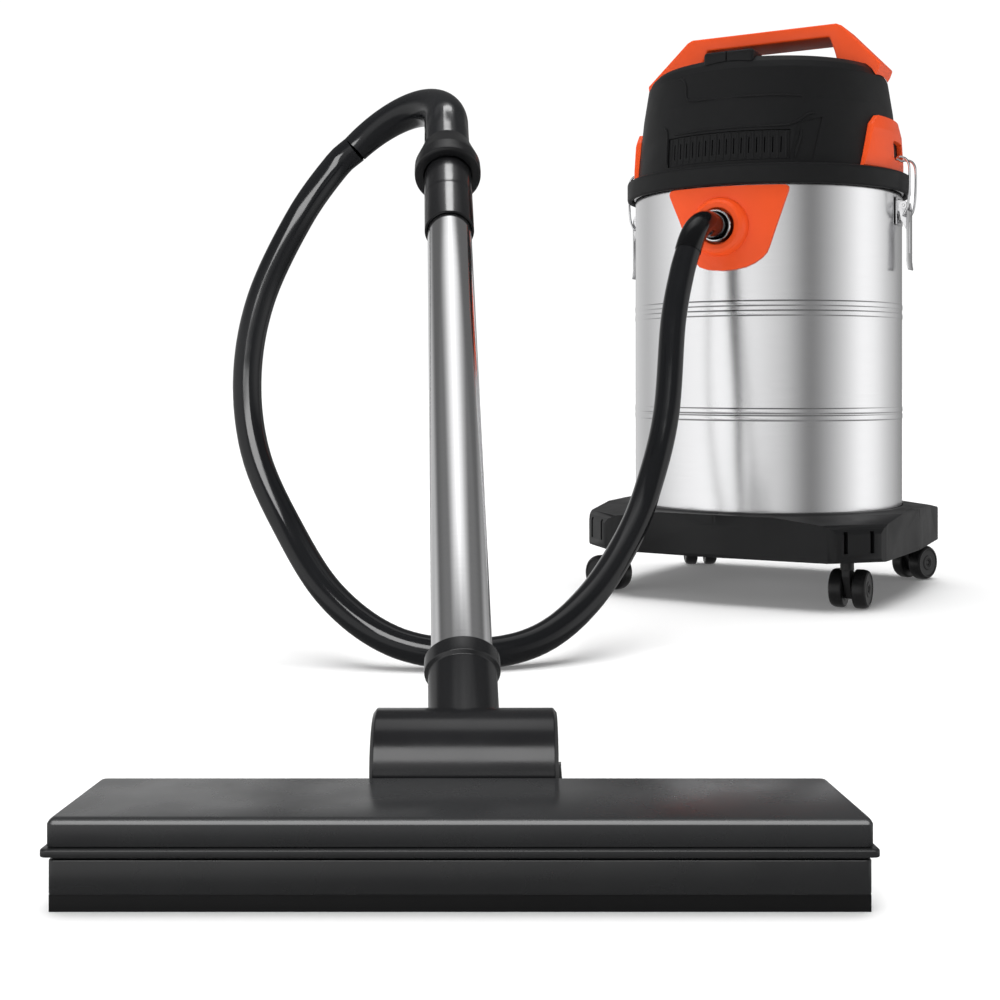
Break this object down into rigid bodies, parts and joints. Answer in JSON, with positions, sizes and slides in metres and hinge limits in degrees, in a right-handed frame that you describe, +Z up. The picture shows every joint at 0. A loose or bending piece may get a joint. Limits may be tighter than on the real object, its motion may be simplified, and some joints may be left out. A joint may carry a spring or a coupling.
{
  "type": "shop vacuum",
  "caption": "Wet-and-dry shop vacuum: steel drum on a wheeled dolly, latched lift-off motor head, hose, steel wand and hinged floor nozzle.",
  "frame": {"origin": "on the floor, at the middle of the footprint of everything but the hose", "axes": "+Z up; the nozzle's front faces -Y and the canister stands at +Y"},
  "size_m": [0.8079, 1.3184, 0.672],
  "materials": {
    "drum_steel": "brushed round the drum, satin",
    "wand_steel": "satin stainless tube",
    "latch_steel": "bright plated",
    "head_black": "fine matte grain",
    "dolly_black": "satin, lightly textured",
    "caster_black": "satin moulded",
    "trim_orange": "satin orange",
    "hose_black": "smooth glossy",
    "wand_fittings": "satin black",
    "nozzle_black": "satin dark grey",
    "seal_rubber": "soft matte",
    "filter_paper": "pleated filter paper",
    "inner_grey": "moulded grey",
    "winding_copper": "lacquered copper windings",
    "motor_steel": "ground steel",
    "fan_aluminium": "stamped aluminium"
  },
  "bodies": {
    "canister": {"dolly": "dolly_black", "drum_shell": "drum_steel", "inlet_cover": "trim_orange", "inlet_socket": "wand_fittings", "inlet_deflector": "inner_grey", "inlet_cuff": "hose_black", "latch_bracket_left": "latch_steel", "latch_bracket_right": "latch_steel", "latch_pin_left": "latch_steel", "latch_pin_right": "latch_steel", "hose": "hose_black", "hose_handle": "hose_black", "wand_sleeve": "wand_fittings", "wand_tube": "wand_steel", "nozzle_neck": "wand_fittings"},
    "head": {"head_base": "head_black", "drum_gasket": "seal_rubber", "head_cover": "head_black", "vent_grille": "head_black", "catch_left": "trim_orange", "catch_right": "trim_orange", "carry_handle": "trim_orange", "switch_pod": "head_black", "cord_gland": "seal_rubber", "motor_housing": "inner_grey", "motor_stator": "winding_copper", "bearing_lower": "motor_steel", "bearing_upper": "motor_steel", "fan_housing": "inner_grey", "float_cage": "inner_grey", "filter_cartridge": "filter_paper"},
    "power_rocker": {"rocker_switch": "head_black"},
    "rotor": {"motor_rotor": "motor_steel", "impeller": "fan_aluminium"},
    "float": {"float_ball": "trim_orange"},
    "nozzle": {"nozzle_base": "nozzle_black", "nozzle_cover": "nozzle_black", "nozzle_bumper": "seal_rubber", "nozzle_lip": "seal_rubber", "nozzle_brush": "seal_rubber"},
    "collar": {"swivel_collar": "wand_fittings"},
    "lock_ring": {"inlet_lock_ring": "latch_steel"},
    "latch_lever_right": {"latch_lever_right": "latch_steel"},
    "latch_bail_right": {"latch_bail_right": "latch_steel"},
    "latch_lever_left": {"latch_lever_left": "latch_steel"},
    "latch_bail_left": {"latch_bail_left": "latch_steel"},
    "caster_front_left": {"caster_front_left_fork": "caster_black"},
    "caster_front_left_wheel_left": {"caster_front_left_wheel_left": "caster_black"},
    "caster_front_left_wheel_right": {"caster_front_left_wheel_right": "caster_black"},
    "caster_front_right": {"caster_front_right_fork": "caster_black"},
    "caster_front_right_wheel_left": {"caster_front_right_wheel_left": "caster_black"},
    "caster_front_right_wheel_right": {"caster_front_right_wheel_right": "caster_black"},
    "caster_rear_left": {"caster_rear_left_fork": "caster_black"},
    "caster_rear_left_wheel_left": {"caster_rear_left_wheel_left": "caster_black"},
    "caster_rear_left_wheel_right": {"caster_rear_left_wheel_right": "caster_black"},
    "caster_rear_right": {"caster_rear_right_fork": "caster_black"},
    "caster_rear_right_wheel_left": {"caster_rear_right_wheel_left": "caster_black"},
    "caster_rear_right_wheel_right": {"caster_rear_right_wheel_right": "caster_black"}
  },
  "joints": [
    {"name": "head_lift", "type": "slide", "parent": "canister", "child": "head", "axis": [0, 0, 1], "range_m": [0, 0.3]},
    {"name": "power_rocker", "type": "hinge", "parent": "head", "child": "power_rocker", "pos_m": [0.10087, 0.33078, 0.624], "axis": [-0.8746, 0.4848, 0], "range_deg": [0, 20]},
    {"name": "motor_spin", "type": "hinge", "parent": "head", "child": "rotor", "pos_m": [0.1588, 0.4353, 0.55], "axis": [0, 0, 1], "continuous": true},
    {"name": "float_rise", "type": "slide", "parent": "head", "child": "float", "axis": [0, 0, 1], "range_m": [0, 0.019]},
    {"name": "nozzle_tilt", "type": "hinge", "parent": "canister", "child": "nozzle", "pos_m": [-0.1872, -0.5527, 0.045], "axis": [-1, 0, 0], "range_deg": [0, 30]},
    {"name": "wand_collar_turn", "type": "hinge", "parent": "canister", "child": "collar", "pos_m": [-0.21409, -0.07615, 0.4407], "axis": [-0.0434, 0.7686, 0.6382], "continuous": true},
    {"name": "inlet_ring_turn", "type": "hinge", "parent": "canister", "child": "lock_ring", "pos_m": [0.07202, 0.27874, 0.4245], "axis": [-0.4848, -0.8746, 0], "range_deg": [0, 30]},
    {"name": "latch_right_open", "type": "hinge", "parent": "canister", "child": "latch_lever_right", "pos_m": [0.30661, 0.35337, 0.455], "axis": [-0.4848, -0.8746, 0], "range_deg": [0, 120]},
    {"name": "latch_right_bail", "type": "hinge", "parent": "latch_lever_right", "child": "latch_bail_right", "pos_m": [0.30749, 0.35288, 0.443], "axis": [-0.4848, -0.8746, 0], "range_deg": [-150, 0]},
    {"name": "latch_left_open", "type": "hinge", "parent": "canister", "child": "latch_lever_left", "pos_m": [0.01099, 0.51723, 0.455], "axis": [0.4848, 0.8746, 0], "range_deg": [0, 120]},
    {"name": "latch_left_bail", "type": "hinge", "parent": "latch_lever_left", "child": "latch_bail_left", "pos_m": [0.01011, 0.51772, 0.443], "axis": [0.4848, 0.8746, 0], "range_deg": [-150, 0]},
    {"name": "caster_front_left_swivel", "type": "hinge", "parent": "canister", "child": "caster_front_left", "pos_m": [-0.02865, 0.38155, 0.05], "axis": [0, 0, 1], "continuous": true},
    {"name": "caster_front_left_spin_left", "type": "hinge", "parent": "caster_front_left", "child": "caster_front_left_wheel_left", "pos_m": [-0.03788, 0.39337, 0.0215], "axis": [-0.788, -0.6157, 0], "continuous": true},
    {"name": "caster_front_left_spin_right", "type": "hinge", "parent": "caster_front_left", "child": "caster_front_left_wheel_right", "pos_m": [-0.03788, 0.39337, 0.0215], "axis": [-0.788, -0.6157, 0], "continuous": true},
    {"name": "caster_front_right_swivel", "type": "hinge", "parent": "canister", "child": "caster_front_right", "pos_m": [0.21255, 0.24785, 0.05], "axis": [0, 0, 1], "continuous": true},
    {"name": "caster_front_right_spin_left", "type": "hinge", "parent": "caster_front_right", "child": "caster_front_right_wheel_left", "pos_m": [0.21959, 0.2611, 0.0215], "axis": [-0.8829, 0.4695, 0], "continuous": true},
    {"name": "caster_front_right_spin_right", "type": "hinge", "parent": "caster_front_right", "child": "caster_front_right_wheel_right", "pos_m": [0.21959, 0.2611, 0.0215], "axis": [-0.8829, 0.4695, 0], "continuous": true},
    {"name": "caster_rear_left_swivel", "type": "hinge", "parent": "canister", "child": "caster_rear_left", "pos_m": [0.10505, 0.62275, 0.05], "axis": [0, 0, 1], "continuous": true},
    {"name": "caster_rear_left_spin_left", "type": "hinge", "parent": "caster_rear_left", "child": "caster_rear_left_wheel_left", "pos_m": [0.10505, 0.63775, 0.0215], "axis": [-1, 0, 0], "continuous": true},
    {"name": "caster_rear_left_spin_right", "type": "hinge", "parent": "caster_rear_left", "child": "caster_rear_left_wheel_right", "pos_m": [0.10505, 0.63775, 0.0215], "axis": [-1, 0, 0], "continuous": true},
    {"name": "caster_rear_right_swivel", "type": "hinge", "parent": "canister", "child": "caster_rear_right", "pos_m": [0.34625, 0.48905, 0.05], "axis": [0, 0, 1], "continuous": true},
    {"name": "caster_rear_right_spin_left", "type": "hinge", "parent": "caster_rear_right", "child": "caster_rear_right_wheel_left", "pos_m": [0.35807, 0.49828, 0.0215], "axis": [-0.6157, 0.788, 0], "continuous": true},
    {"name": "caster_rear_right_spin_right", "type": "hinge", "parent": "caster_rear_right", "child": "caster_rear_right_wheel_right", "pos_m": [0.35807, 0.49828, 0.0215], "axis": [-0.6157, 0.788, 0], "continuous": true}
  ],
  "couplings": [
    {"joint": "latch_right_bail", "follows": "latch_right_open", "ratio": -1.25},
    {"joint": "latch_left_bail", "follows": "latch_left_open", "ratio": -1.25}
  ]
}
